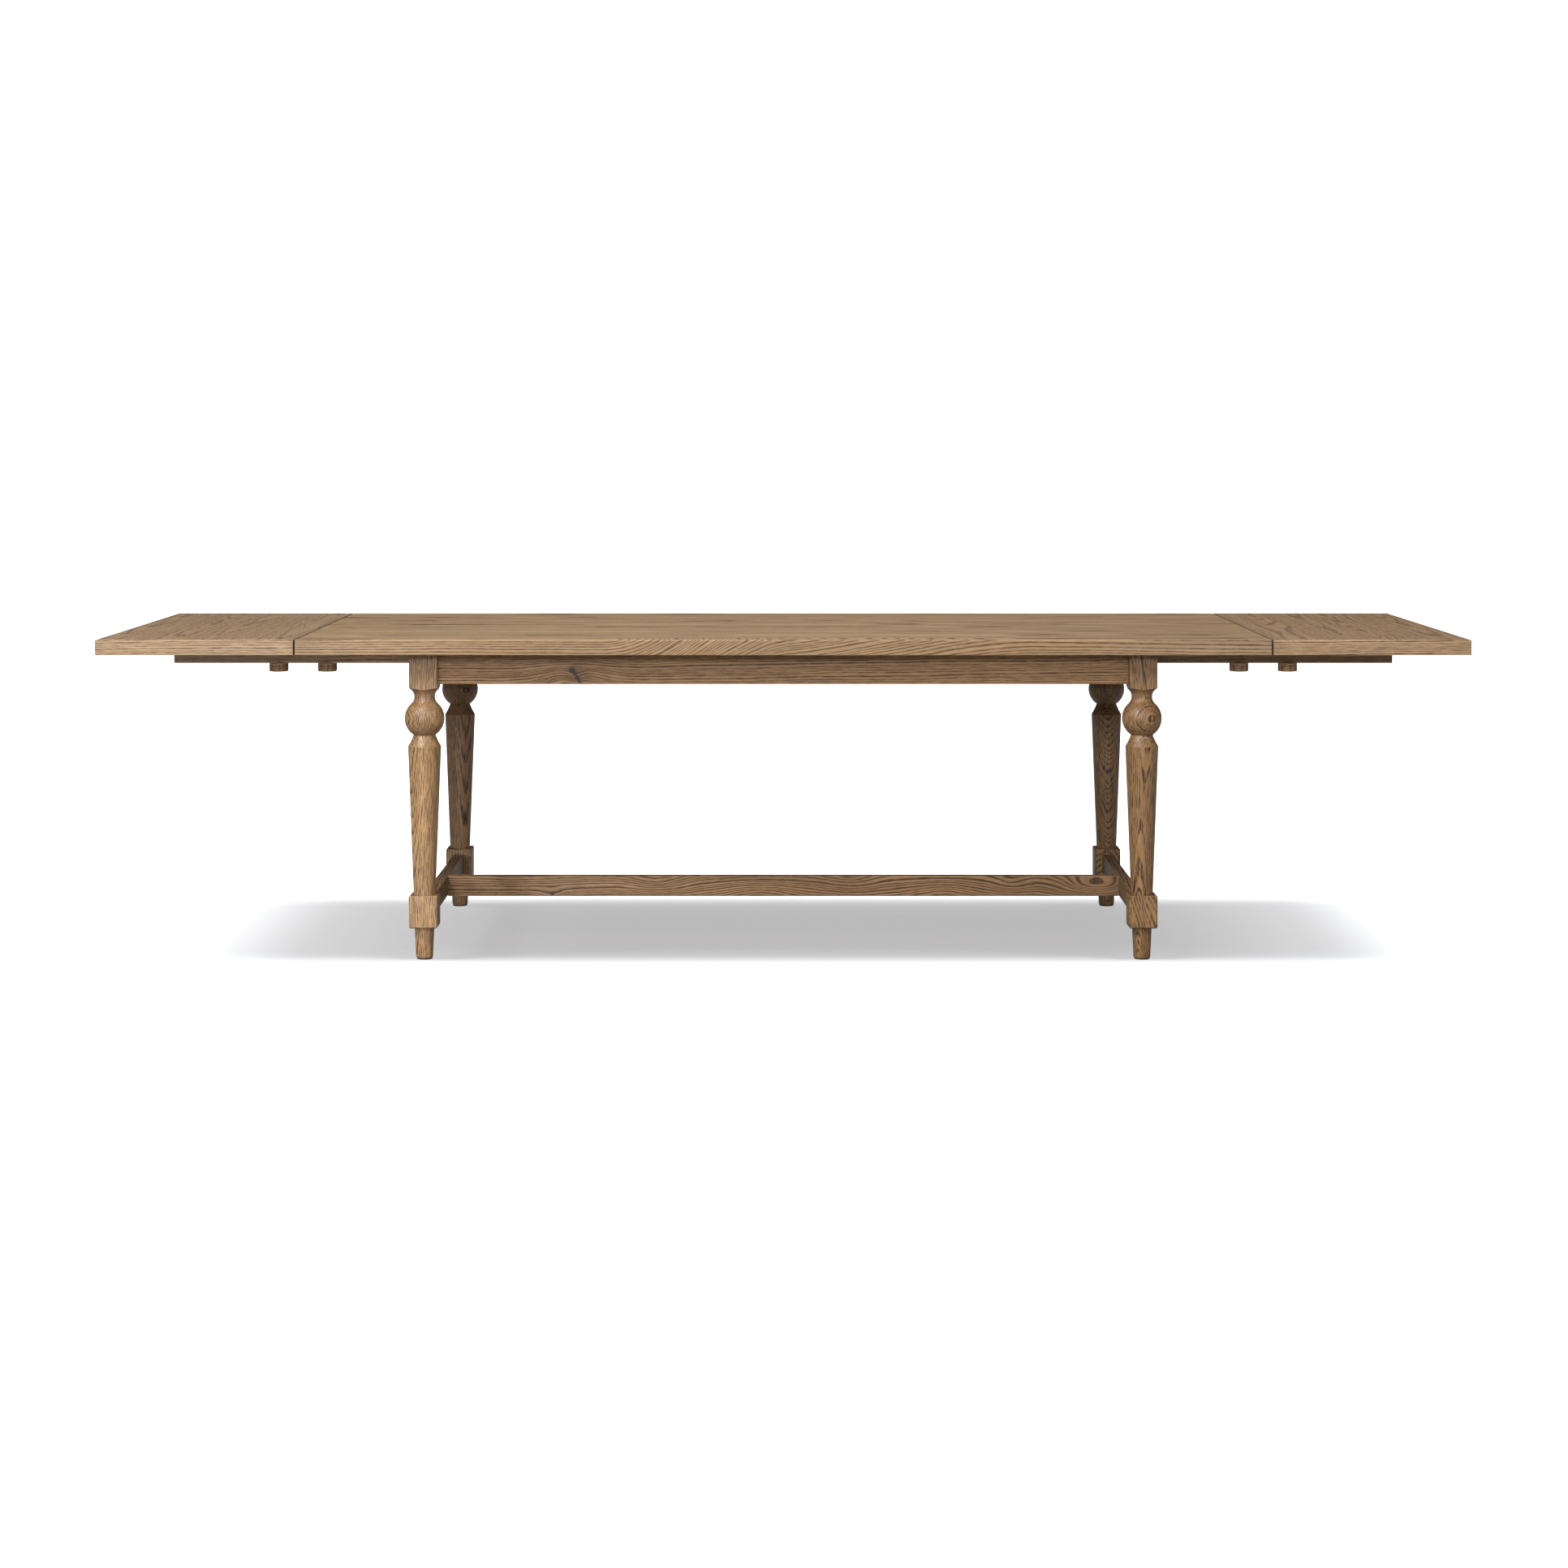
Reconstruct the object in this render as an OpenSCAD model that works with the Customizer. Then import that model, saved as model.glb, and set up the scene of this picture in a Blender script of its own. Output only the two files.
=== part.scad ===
// Extendable farmhouse dining table: a base with turned legs, a fixed main top and two end leaves.
// Each leaf lies on two sliding arms, and lobed knobs clamp the arms to the main top and the leaf.
// X runs along the table, Y from front to back, Z up from the floor. The origin is on the floor
// under the middle of the table. The table is shown extended, with every knob tight.

/* [Top] */
// Height of the table
table_h = 762; // [700:1:800]
// Thickness of the main top and the leaves
top_t = 36; // [30:1:42]
// Length of the main top
main_l = 2286; // [2200:2:2400]
// Width of the main top and the leaves
top_w = 1016; // [960:2:1100]
// Length of each leaf
leaf_l = 464; // [430:2:520]
// Gap between the main top and a leaf
seam = 2; // [1.5:0.5:3]
// Size of the small bevel on the edges of the tops
top_arris = 1.5; // [0.5:0.5:2.5]

/* [Legs] */
// Distance of the leg centres from the middle of the table, along its length
leg_x = 850; // [820:2:900]
// Distance of the leg centres from the middle of the table, across its width
leg_y = 404; // [390:2:430]
// Width of the square blocks
block_w = 67; // [62:1:72]
// Radius of the turned cove under the upper block
cove_r = 22; // [20:0.5:24]
// Radius at the neck over the ball
neck_r = 24.4; // [23:0.2:26]
// Height of the neck
neck_z = 620.6; // [616:0.2:626]
// Radius of the ball
ball_r = 47; // [44:0.5:49]
// Radius at the crease under the ball
crease_r = 26; // [24:0.5:28]
// Radius of the shoulder under the ball
shoulder_r = 39; // [37:0.2:41]
// Height of the shoulder
shoulder_z = 503.5; // [500:0.5:508]
// Radius of the tapered shaft at its lower end
shaft_end_r = 25.8; // [24:0.1:29]
// Height of the lower block's top
block_top = 153; // [150:1:160]
// Height of the lower block's underside
block_bottom = 76; // [70:1:80]
// Radius of the foot under the lower block
foot_top_r = 23.3; // [22:0.1:25]
// Radius of the foot at the floor
foot_end_r = 20; // [18:0.1:22]

/* [Frame] */
// Height of the aprons
apron_h = 75; // [70:1:80]
// Thickness of the aprons
apron_t = 22; // [20:1:24]
// Thickness of the stretchers
stretcher_t = 27; // [24:1:30]
// Height of the stretchers' top edge
stretcher_top = 138; // [134:1:142]
// Height of the end stretchers
end_stretcher_h = 48; // [44:1:52]
// Height of the centre stretcher
mid_stretcher_h = 50; // [46:1:52]

/* [Arms] */
// Distance of the arm centres from the middle of the table
arm_y = 343; // [338:1:345]
// Width of an arm
arm_w = 30; // [26:1:32]
// Height of an arm
arm_h = 29.3; // [27:0.1:29.3]
// Length of an arm
arm_l = 880; // [860:2:900]
// Distance of an extended arm's tip from the middle of the table
arm_tip = 1453; // [1440:1:1460]

/* [Knobs] */
// Distance of the knobs from the seam, inwards and outwards
knob_offset = [54, 62]; // [50:1:66]
// Radius of the knobs and their plates
knob_r = 22.75; // [21:0.25:24]
// Height of a knob
knob_h = 16.7; // [15:0.1:18]
// Thickness of the plate between a knob and its arm
plate_t = 3.1; // [2.5:0.1:3.5]
// Number of lobes round a knob
lobes = 5; // [5:1:8]
// Angle of the first lobe from the front, towards the left end
lobe_turn = 16; // [0:1:36]

/* [Hidden] */
$fn = 64;
eps = 0.01;
under = table_h - top_t;                 // underside of the top
seam_x = main_l / 2;
gap = 0.3;                               // between parts that slide or turn on each other
fit = 0.05;                              // radial clearance round screws, studs and pins

apron_z = under - apron_h;
apron_in_x = leg_x - apron_t / 2;        // inner faces of the aprons
apron_in_y = leg_y - apron_t / 2;
block_in_x = leg_x - block_w / 2;        // inner faces of the leg blocks
block_in_y = leg_y - block_w / 2;
block_arris = 1;
block_bevel = 2.5;
rail_arris = 1;

tenon_t = 10;
apron_tenon = [25, 55];                  // length and height
stretcher_tenon = [20, 30];

arm_z = under - gap - arm_h;
notch_w = arm_w + 1;
notch_h = under - arm_z + gap;
slot_w = 9;
rail_x = 600;                            // cross rails that guide the arms
rail_h = 60;
rail_t = 22;
arm_travel = arm_tip - seam_x;

stud_r = 4;
stud_top = under + 14;
insert_r = 6;
insert_h = 15;
plate_top = arm_z - gap;
knob_top = plate_top - plate_t - gap;
knob_z = knob_top - knob_h;

pin_r = 5;
pin_z = under + top_t / 2;
pin_ys = [-300, 0, 300];
pin_in = 25;                             // depth of a pin in the leaf and in its sleeve
sleeve_r = 7;

corner_block = [52, 100];                // where its faces cross the aprons, from their inner corner
corner_block_z = [655, 690];
bolt_z = 672.5;
bolt_in = 30;                            // depth of a hanger bolt in the leg

clip_w = 20;
clip_t = 2;
groove_z = 713;
groove_h = 3;
groove_d = 5;
clip_xs = [-500, -150, 150, 500];        // clips on the long aprons
clip_ys = [-120, 120];                   // clips on the end aprons
screw_r = 2;
screw_l = 16;
clip_reach = 22;

glide_h = 3.5;
glide_r = 18.5;

ENDS = [["left", -1], ["right", 1]];
SIDES = [["front", -1], ["back", 1]];
PLACES = [["inner", -knob_offset[0]], ["outer", knob_offset[1]]];

module oak_top() { color([0.66, 0.54, 0.41]) children(); }
module oak_base() { color([0.55, 0.43, 0.31]) children(); }
module oak_arm() { color([0.42, 0.34, 0.26]) children(); }
module dark_wood() { color([0.30, 0.22, 0.15]) children(); }
module steel() { color([0.72, 0.72, 0.72]) children(); }
module brass() { color([0.75, 0.62, 0.35]) children(); }

// Points of an arc round centre c, from angle a0 to angle a1
function arc(c, r, a0, a1, n) =
    [for (i = [0:n]) let (a = a0 + (a1 - a0) * i / n) c + r * [cos(a), sin(a)]];

// Points of an arc of radius r from p to q, with its centre on the right of the way from p to q
function arc_between(p, q, r, n) =
    let (d = q - p, h = norm(d) / 2, right = [d[1], -d[0]] / norm(d),
         c = (p + q) / 2 + right * sqrt(r * r - h * h),
         a0 = atan2(p[1] - c[1], p[0] - c[0]), turn = 2 * asin(h / r))
    arc(c, r, a0, a0 - turn, n);

// A square or rectangle about the origin with its corners cut by c
module cut_corners(w, h, c) {
    x = w / 2;
    y = h / 2;
    polygon([[c - x, -y], [x - c, -y], [x, c - y], [x, y - c],
             [x - c, y], [c - x, y], [-x, y - c], [-x, c - y]]);
}

// A box about the origin in X and Y, standing on z = 0, with a bevel c on its twelve edges
module bevelled_box(l, w, h, c) {
    intersection() {
        linear_extrude(h) cut_corners(l, w, c);
        translate([0, w / 2, h / 2]) rotate([90, 0, 0]) linear_extrude(w) cut_corners(l, h, c);
        translate([-l / 2, 0, h / 2]) rotate([90, 0, 90]) linear_extrude(l) cut_corners(w, h, c);
    }
}

// A bar along X about the origin, standing on z = 0, with its four long edges eased
module eased_bar(l, w, h) {
    translate([-l / 2, 0, h / 2]) rotate([90, 0, 90]) linear_extrude(l) cut_corners(w, h, rail_arris);
}

// Mirrors its children from the right front corner to corner (sx, sy)
module to_corner(sx, sy) {
    mirror([sx < 0 ? 1 : 0, 0, 0]) mirror([0, sy > 0 ? 1 : 0, 0]) children();
}

// Puts the z axis on the hanger bolt's axis at the right front leg, pointing to the table's middle
module on_bolt_axis() {
    translate([leg_x, -leg_y, bolt_z]) rotate([0, 0, 135]) rotate([0, 90, 0]) children();
}

// Distances along the bolt's axis from the leg's centre
corner_d = block_w / sqrt(2);
block_face_d = (corner_block[1] + apron_t) / sqrt(2);
washer_t = 1.6;
nut_t = 6.5;

// ---- Legs ----
cove_c = [neck_r + cove_r, neck_z];
ball_z = neck_z - sqrt(pow(ball_r + cove_r, 2) - pow(cove_c[0], 2));
tangent_a = atan2(cove_c[1] - ball_z, cove_c[0]);
crease_a = -acos(crease_r / ball_r);
crease = [crease_r, ball_z + ball_r * sin(crease_a)];
shoulder = [shoulder_r, shoulder_z];
flare_r = 110;

// Neck, ball, flare and tapered shaft, turned in one piece
module turned_shaft() {
    rotate_extrude() polygon(concat(
        [[0, block_top - 5], [shaft_end_r, block_top - 5], [shaft_end_r, block_top]],
        [[shoulder_r, shoulder_z - 1.5]],
        arc_between(shoulder, crease, flare_r, 5),
        arc([0, ball_z], ball_r, crease_a, tangent_a, 28),
        arc(cove_c, cove_r, 180 + tangent_a, 180, 6),
        [[neck_r, neck_z + eps], [0, neck_z + eps]]));
}

// Square upper block, its corners turned away by the cove
module upper_block() {
    intersection() {
        translate([0, 0, neck_z]) linear_extrude(under - neck_z) cut_corners(block_w, block_w, block_arris);
        rotate_extrude() polygon(concat(
            [[0, neck_z]],
            arc(cove_c, cove_r, 180, 90, 12),
            [[block_w, neck_z + cove_r], [block_w, under], [0, under]]));
    }
}

module foot() {
    r = foot_end_r;
    rotate_extrude() polygon(concat(
        [[0, glide_h], [r - 2, glide_h]],
        arc([r - 2, glide_h + 2], 2, -90, 0, 4),
        [[foot_top_r, block_bottom], [foot_top_r, block_bottom + 5], [0, block_bottom + 5]]));
}

// A tenon's mortise in a block's inner face; size is the tenon's length and height
module mortise(size, z) {
    translate([-block_w / 2 - eps, -tenon_t / 2, z]) cube([size[0] + eps + 0.2, tenon_t, size[1]]);
}

apron_tenon_z = apron_z + 10;
stretcher_tenon_z = stretcher_top - end_stretcher_h / 2 - stretcher_tenon[1] / 2;

module leg(sx, sy) {
    oak_base() to_corner(sx, sy) difference() {
        translate([leg_x, -leg_y, 0]) difference() {
            union() {
                upper_block();
                turned_shaft();
                translate([0, 0, block_bottom])
                    bevelled_box(block_w, block_w, block_top - block_bottom, block_bevel);
                foot();
            }
            mortise(apron_tenon, apron_tenon_z);
            rotate([0, 0, -90]) mortise(apron_tenon, apron_tenon_z);
            rotate([0, 0, -90]) mortise(stretcher_tenon, stretcher_tenon_z);
        }
        on_bolt_axis() translate([0, 0, corner_d - bolt_in]) cylinder(r = stud_r + fit, h = bolt_in + 5);
    }
}

module foot_glides() {
    color([0.12, 0.11, 0.1]) for (sx = [-1, 1]) for (sy = [-1, 1])
        translate([sx * leg_x, sy * leg_y, 0]) rotate_extrude() polygon(concat(
            [[0, 0], [glide_r - 1, 0]],
            arc([glide_r - 1, 1], 1, -90, 0, 3),
            [[glide_r, glide_h], [0, glide_h]]));
}

// ---- Frame ----
// A rail of length l along X with a tenon on each end
module tenoned_rail(l, t, h, z, tenon, tenon_z) {
    union() {
        translate([0, 0, z]) eased_bar(l, t, h);
        translate([-l / 2 - tenon[0], -tenon_t / 2, tenon_z]) cube([l + 2 * tenon[0], tenon_t, tenon[1]]);
    }
}

// Groove for the clips, along the face at y = apron_t / 2
module clip_groove(l) {
    translate([-l / 2, apron_t / 2 - groove_d, groove_z]) cube([l, groove_d + 1, groove_h]);
}

module long_apron(sy) {
    oak_base() translate([0, sy * leg_y, 0]) rotate([0, 0, sy > 0 ? 180 : 0]) difference() {
        tenoned_rail(2 * block_in_x, apron_t, apron_h, apron_z, apron_tenon, apron_tenon_z);
        clip_groove(2 * block_in_x - 2);
    }
}

// Two notches, open at the top, through a rail that runs along X in its own frame
module arm_notches() {
    for (s = [-1, 1]) translate([s * arm_y - notch_w / 2, -apron_t, under - notch_h])
        cube([notch_w, 2 * apron_t, notch_h + 1]);
}

module end_apron(sx) {
    oak_base() translate([sx * leg_x, 0, 0]) rotate([0, 0, sx * 90]) difference() {
        tenoned_rail(2 * block_in_y, apron_t, apron_h, apron_z, apron_tenon, apron_tenon_z);
        clip_groove(2 * (arm_y - notch_w / 2 - 10));
        arm_notches();
    }
}

module end_stretcher(sx) {
    oak_base() translate([sx * leg_x, 0, 0]) rotate([0, 0, sx * 90]) difference() {
        tenoned_rail(2 * block_in_y, stretcher_t, end_stretcher_h, stretcher_top - end_stretcher_h,
                     stretcher_tenon, stretcher_tenon_z);
        translate([-tenon_t / 2, stretcher_t / 2 - stretcher_tenon[0], stretcher_tenon_z])
            cube([tenon_t, stretcher_tenon[0] + 1, stretcher_tenon[1]]);
    }
}

module middle_stretcher() {
    oak_base() tenoned_rail(2 * leg_x - stretcher_t, stretcher_t, mid_stretcher_h,
                            stretcher_top - mid_stretcher_h,
                            [stretcher_tenon[0] - 0.2, stretcher_tenon[1]], stretcher_tenon_z);
}

// Cross rail between the long aprons; a guide rail is notched for the arms
module cross_rail(x, notched) {
    oak_base() translate([x, 0, 0]) rotate([0, 0, 90]) difference() {
        translate([0, 0, under - rail_h]) eased_bar(2 * apron_in_y, rail_t, rail_h);
        if (notched) arm_notches();
    }
}

module corner_blocks() {
    a = corner_block[0];
    b = corner_block[1];
    oak_base() for (sx = [-1, 1]) for (sy = [-1, 1]) to_corner(sx, sy) difference() {
        translate([apron_in_x, -apron_in_y, corner_block_z[0]])
            linear_extrude(corner_block_z[1] - corner_block_z[0]) polygon([[-a, 0], [0, a], [0, b], [-b, 0]]);
        on_bolt_axis() translate([0, 0, corner_d]) cylinder(r = stud_r + 0.5, h = bolt_in * 2);
    }
}

module hanger_bolts() {
    l = block_face_d + washer_t + nut_t + 4 - (corner_d - bolt_in) - 1;
    steel() for (sx = [-1, 1]) for (sy = [-1, 1]) to_corner(sx, sy)
        on_bolt_axis() translate([0, 0, corner_d - bolt_in + 1]) cylinder(r = stud_r, h = l);
}

module bolt_washers() {
    steel() for (sx = [-1, 1]) for (sy = [-1, 1]) to_corner(sx, sy)
        on_bolt_axis() translate([0, 0, block_face_d]) difference() {
            cylinder(r = 10, h = washer_t);
            translate([0, 0, -1]) cylinder(r = stud_r + 0.3, h = washer_t + 2);
        }
}

module bolt_nuts() {
    steel() for (sx = [-1, 1]) for (sy = [-1, 1]) to_corner(sx, sy)
        on_bolt_axis() translate([0, 0, block_face_d + washer_t]) difference() {
            cylinder(r = 13 / sqrt(3), h = nut_t, $fn = 6);
            translate([0, 0, -1]) cylinder(r = stud_r + fit, h = nut_t + 2);
        }
}

// Puts its children at each clip: the apron's inner face is the plane y = 0, and +y leads inwards
module at_clips() {
    for (s = [-1, 1]) for (x = clip_xs)
        rotate([0, 0, s > 0 ? 180 : 0]) translate([x, -apron_in_y, 0]) children();
    for (s = [-1, 1]) for (y = clip_ys) rotate([0, 0, s * 90]) translate([y, -apron_in_x, 0]) children();
}

module top_clips() {
    z = groove_z + 0.5;
    steel() at_clips() difference() {
        translate([clip_w / 2, 0, 0]) rotate([90, 0, -90]) linear_extrude(clip_w) polygon([
            [groove_d - 0.5, z], [-4, z], [-4, under - clip_t], [-clip_reach, under - clip_t],
            [-clip_reach, under], [-2, under], [-2, z + clip_t], [groove_d - 0.5, z + clip_t]]);
        translate([0, clip_reach - 8, under - 5]) cylinder(r = screw_r + 0.3, h = 10);
    }
}

module clip_screws() {
    steel() at_clips() translate([0, clip_reach - 8, under - clip_t]) union() {
        cylinder(r = screw_r, h = screw_l);
        translate([0, 0, -2.5]) cylinder(r1 = 2.5, r2 = 4, h = 2.5);
    }
}

module arm_stops() {
    tail = arm_tip - arm_l - arm_travel;
    oak_arm() for (sx = [-1, 1]) for (sy = [-1, 1]) to_corner(sx, sy)
        translate([tail - 1 - 32, -arm_y - arm_w / 2, arm_z]) cube([32, arm_w, under - arm_z]);
}

// ---- Tops ----
module panel(l, x) {
    translate([x, 0, under]) bevelled_box(l, top_w, top_t, top_arris);
}

// Puts its children at the knobs of one place: "inner" knobs hold the main top, "outer" ones a leaf
module at_knobs(place_offset, xs, ys) {
    for (sx = xs) for (sy = ys) translate([sx * (seam_x + place_offset), sy * arm_y, 0]) children();
}

module insert_holes(place_offset, xs) {
    at_knobs(place_offset, xs, [-1, 1]) translate([0, 0, under - 1]) cylinder(r = insert_r, h = insert_h + 2);
}

module inserts(place_offset, xs) {
    brass() at_knobs(place_offset, xs, [-1, 1]) translate([0, 0, under]) difference() {
        cylinder(r = insert_r, h = insert_h);
        translate([0, 0, -1]) cylinder(r = stud_r + fit, h = insert_h + 2);
    }
}

// Puts the z axis on each alignment pin's axis at end sx, pointing outwards, with z = 0 at the main top's end
module at_pins(sx) {
    for (y = pin_ys) translate([sx * seam_x, y, pin_z]) rotate([0, sx * 90, 0]) children();
}

module main_top() {
    oak_top() difference() {
        panel(main_l, 0);
        insert_holes(-knob_offset[0], [-1, 1]);
        for (sx = [-1, 1]) at_pins(sx) translate([0, 0, -pin_in - 3]) cylinder(r = sleeve_r, h = pin_in + 4);
        at_clips() translate([0, clip_reach - 8, under - 1]) cylinder(r = screw_r + fit, h = screw_l + 1);
    }
}

module top_inserts() { inserts(-knob_offset[0], [-1, 1]); }

module pin_sleeves() {
    brass() for (sx = [-1, 1]) at_pins(sx) translate([0, 0, -pin_in - 2]) difference() {
        cylinder(r = sleeve_r, h = pin_in + 2);
        translate([0, 0, 1]) cylinder(r = pin_r + fit, h = pin_in + 4);
    }
}

module leaf(sx) {
    oak_top() difference() {
        panel(leaf_l, sx * (seam_x + seam + leaf_l / 2));
        insert_holes(knob_offset[1], [sx]);
        at_pins(sx) cylinder(r = pin_r, h = seam + pin_in);
    }
}

module leaf_inserts(sx) { inserts(knob_offset[1], [sx]); }

module leaf_pins(sx) {
    brass() at_pins(sx) translate([0, 0, 1 - pin_in]) union() {
        cylinder(r = pin_r, h = 2 * pin_in + seam - 1);
        translate([0, 0, -1.5]) cylinder(r1 = pin_r - 1.5, r2 = pin_r, h = 1.5);
    }
}

// ---- Arms and knobs ----
module arm(sx, sy) {
    slot_x = seam_x - knob_offset[0];
    oak_arm() to_corner(sx, sy) difference() {
        translate([arm_tip - arm_l / 2, -arm_y, arm_z]) bevelled_box(arm_l, arm_w, arm_h, 1);
        translate([slot_x, -arm_y, arm_z - 1]) cylinder(r = slot_w / 2, h = arm_h + 2);
        translate([slot_x, -arm_y - slot_w / 2, arm_z - 1]) cube([arm_tip - slot_x + 1, slot_w, arm_h + 2]);
    }
}

module plate(sx, sy, place_offset) {
    edge = 0.6;
    color([0.62, 0.52, 0.40]) at_knobs(place_offset, [sx], [sy])
        translate([0, 0, plate_top - plate_t]) difference() {
            rotate_extrude() polygon([
                [0, 0], [knob_r, 0], [knob_r, plate_t - edge], [knob_r - edge, plate_t], [0, plate_t]]);
            translate([0, 0, -1]) cylinder(r = stud_r + fit, h = plate_t + 2);
        }
}

// Knob with hollows between its lobes and a rounded lower edge
module knob(sx, sy, place_offset) {
    hollow_r = 7.5;
    hollow_d = 3.2;
    edge_r = 2.5;
    blind_h = 4;
    dark_wood() at_knobs(place_offset, [sx], [sy]) translate([0, 0, knob_z]) difference() {
        rotate_extrude() polygon(concat(
            [[0, 0], [knob_r - edge_r, 0]],
            arc([knob_r - edge_r, edge_r], edge_r, -90, 0, 5),
            arc([knob_r - 1, knob_h - 1], 1, 0, 90, 3),
            [[0, knob_h]]));
        for (i = [0:lobes - 1]) rotate([0, 0, -90 - lobe_turn + (i + 0.5) * 360 / lobes])
            translate([knob_r + hollow_r - hollow_d, 0, -1]) cylinder(r = hollow_r, h = knob_h + 2);
        translate([0, 0, blind_h]) cylinder(r = stud_r, h = knob_h);
    }
}

module stud(sx, sy, place_offset) {
    steel() at_knobs(place_offset, [sx], [sy]) union() {
        translate([0, 0, knob_z + 4]) cylinder(r = stud_r, h = stud_top - knob_z - 5);
        translate([0, 0, stud_top - 1]) cylinder(r1 = stud_r, r2 = stud_r - 1, h = 1);
    }
}

for (s = SIDES) for (e = ENDS) leg(e[1], s[1]);
long_apron(-1);  // apron_front
long_apron(1);  // apron_back
end_apron(-1);  // apron_left
end_apron(1);  // apron_right
end_stretcher(-1);  // stretcher_left
end_stretcher(1);  // stretcher_right
middle_stretcher();  // stretcher_middle
cross_rail(-rail_x, true);  // guide_rail_left
cross_rail(rail_x, true);  // guide_rail_right
cross_rail(0, false);  // middle_rail
corner_blocks();
hanger_bolts();
bolt_washers();
bolt_nuts();
foot_glides();
top_clips();
clip_screws();
arm_stops();
main_top();
top_inserts();
pin_sleeves();
for (e = ENDS) leaf(e[1]);
for (e = ENDS) leaf_inserts(e[1]);
for (e = ENDS) leaf_pins(e[1]);
for (s = SIDES) for (e = ENDS) arm(e[1], s[1]);
for (s = SIDES) for (e = ENDS) for (p = PLACES)
    plate(e[1], s[1], p[1]);
for (s = SIDES) for (e = ENDS) for (p = PLACES)
    knob(e[1], s[1], p[1]);
for (s = SIDES) for (e = ENDS) for (p = PLACES)
    stud(e[1], s[1], p[1]);
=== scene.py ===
"""Looks for the extendable dining table: oak, knobs, hardware, floor, light and camera.

Lengths are metres. X runs along the table, Y from front to back and Z up.
"""

import math

import bpy
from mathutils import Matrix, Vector


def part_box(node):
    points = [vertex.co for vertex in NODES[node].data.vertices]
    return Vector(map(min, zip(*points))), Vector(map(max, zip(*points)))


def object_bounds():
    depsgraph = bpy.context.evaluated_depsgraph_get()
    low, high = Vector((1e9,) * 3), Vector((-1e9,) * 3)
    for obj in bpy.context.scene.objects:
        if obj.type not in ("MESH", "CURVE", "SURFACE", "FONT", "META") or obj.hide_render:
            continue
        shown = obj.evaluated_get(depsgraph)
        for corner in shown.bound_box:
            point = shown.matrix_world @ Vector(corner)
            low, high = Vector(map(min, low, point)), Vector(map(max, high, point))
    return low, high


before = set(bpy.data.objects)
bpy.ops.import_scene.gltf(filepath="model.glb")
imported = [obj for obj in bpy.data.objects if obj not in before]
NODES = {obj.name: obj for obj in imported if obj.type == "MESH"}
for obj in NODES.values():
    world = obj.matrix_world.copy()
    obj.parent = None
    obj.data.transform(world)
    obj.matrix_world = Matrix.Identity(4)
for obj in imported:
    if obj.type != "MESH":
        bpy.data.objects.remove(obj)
cad_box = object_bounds()
ENDS = ("left", "right")
SIDES = ("front", "back")
PLACES = ("inner", "outer")

# Middle of the gap between the main top and a leaf
SEAM_X = (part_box("main_top")[1].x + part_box("leaf_right")[0].x) / 2
UP = (0, 0, 1)
FRONT = (0, -1, 0)
# The axes along the grain, across it and through the boards, by the axis that the grain follows
GRAIN = {"x": ("X", "Y", "Z"), "y": ("Y", "X", "Z"), "z": ("Z", "X", "Y")}
# How far apart in the tree the boards of a panel were cut: along the tree, and across it
BOARD_SHIFT = 7.0
BOARD_SPREAD = 0.05
CAMERA_DISTANCE = 7.257
CAMERA_HEIGHT = 1.2734


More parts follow.
